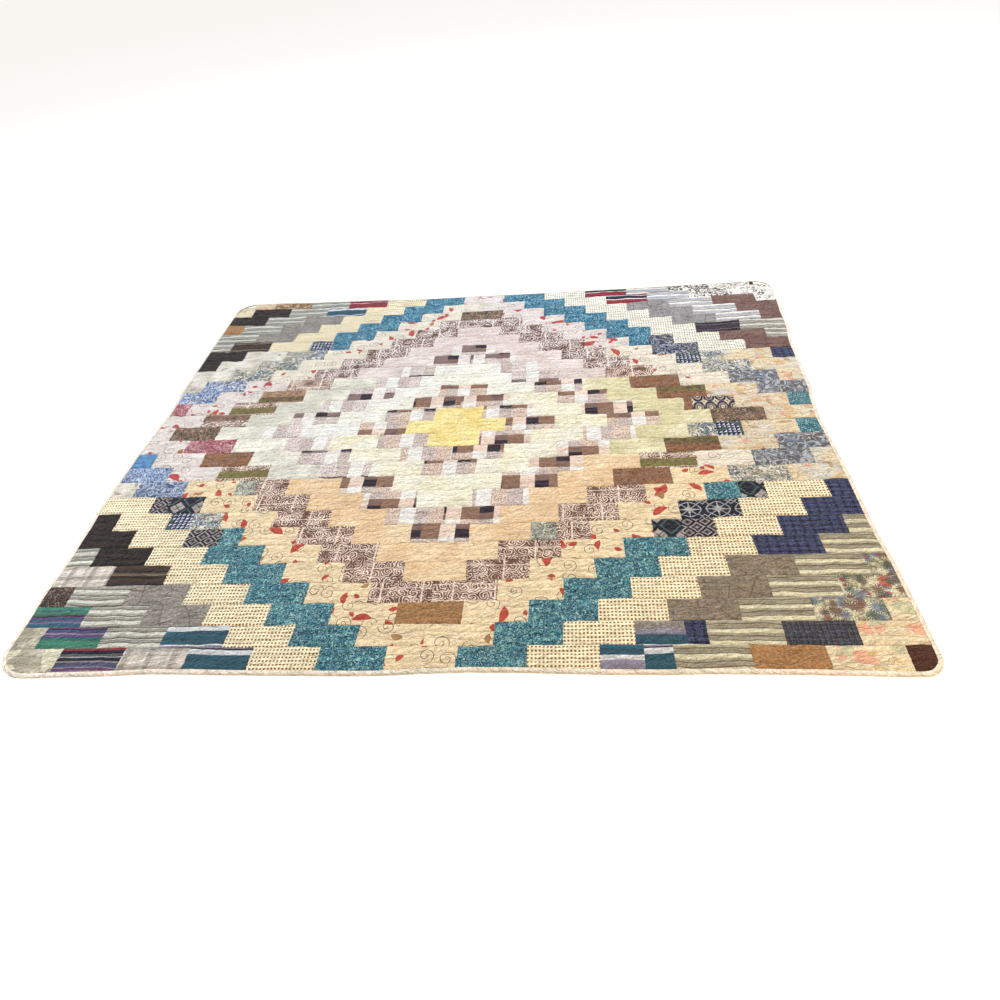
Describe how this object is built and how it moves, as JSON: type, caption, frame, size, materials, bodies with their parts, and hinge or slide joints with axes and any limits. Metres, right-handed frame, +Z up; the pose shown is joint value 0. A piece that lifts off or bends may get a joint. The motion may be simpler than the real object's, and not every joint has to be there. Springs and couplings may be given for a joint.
{
  "type": "patchwork quilt",
  "caption": "Large rectangular patchwork bed quilt lying flat and face up, quilted in narrow parallel rows, with a narrow folded binding and rounded corners.",
  "frame": {"origin": "centre of the quilt's bounding box, on its flat underside", "axes": "+X along the long side to the right, +Y along the short side from the front edge to the back edge, +Z up out of the patchwork face"},
  "size_m": [2.4698, 2.0986, 0.0089],
  "materials": {
    "patchwork": "matte",
    "binding_cotton": "matte"
  },
  "bodies": {
    "root": {"quilt_body": "patchwork", "binding": "binding_cotton"}
  },
  "joints": []
}
